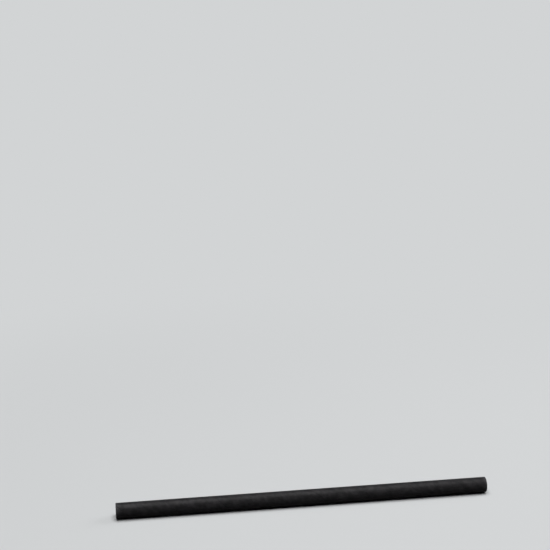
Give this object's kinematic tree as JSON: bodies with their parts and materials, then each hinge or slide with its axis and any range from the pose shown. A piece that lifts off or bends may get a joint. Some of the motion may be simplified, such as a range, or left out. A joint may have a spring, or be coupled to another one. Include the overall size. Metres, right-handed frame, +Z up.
{
  "type": "paper drinking straw",
  "caption": "Straight black paper drinking straw: a thin spiral-wound paper tube, open and cut square at both ends, lying on its side.",
  "frame": {"origin": "below the middle of the straw, on the surface that it lies on", "axes": "+X along the straw, +Y across it, +Z up from the surface that it lies on"},
  "size_m": [0.197, 0.0082, 0.0082],
  "materials": {
    "black_paper": "matt dyed-through wound paper"
  },
  "bodies": {
    "root": {"straw": "black_paper"}
  },
  "joints": []
}
